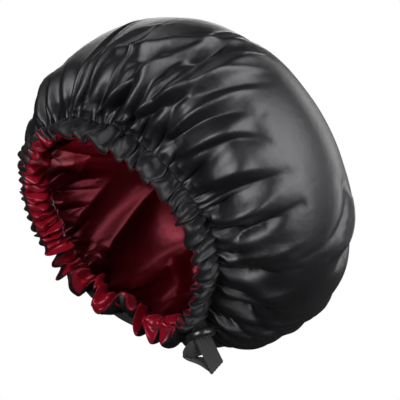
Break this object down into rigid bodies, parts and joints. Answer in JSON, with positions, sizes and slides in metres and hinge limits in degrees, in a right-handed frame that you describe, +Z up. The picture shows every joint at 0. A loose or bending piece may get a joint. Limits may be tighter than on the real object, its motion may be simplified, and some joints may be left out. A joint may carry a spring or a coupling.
{
  "type": "sleep bonnet",
  "caption": "Two-ply satin sleep bonnet, puffed out as worn, with a contrast lining, a gathered elastic rim and a pull loop with a round adjuster button at the nape.",
  "frame": {"origin": "middle of the rim's plane, where the wearer's head goes in", "axes": "+Z up as worn, the wearer's face toward -Y, the wearer's left toward +X; the rim's plane leans 45 degrees, so the crown's axis runs back and up in the YZ plane"},
  "size_m": [0.3232, 0.278, 0.303],
  "materials": {
    "black_satin": "smooth satin, soft bright highlights",
    "wine_satin": "smooth satin, soft bright highlights",
    "ribbed_elastic": "matte woven elastic, ribbed lengthwise",
    "black_plastic": "smooth moulded plastic"
  },
  "bodies": {
    "root": {"crown": "black_satin", "lining": "wine_satin", "brim_casing": "black_satin", "brim_facing": "wine_satin", "elastic_band": "ribbed_elastic", "adjuster_button": "black_plastic"}
  },
  "joints": []
}
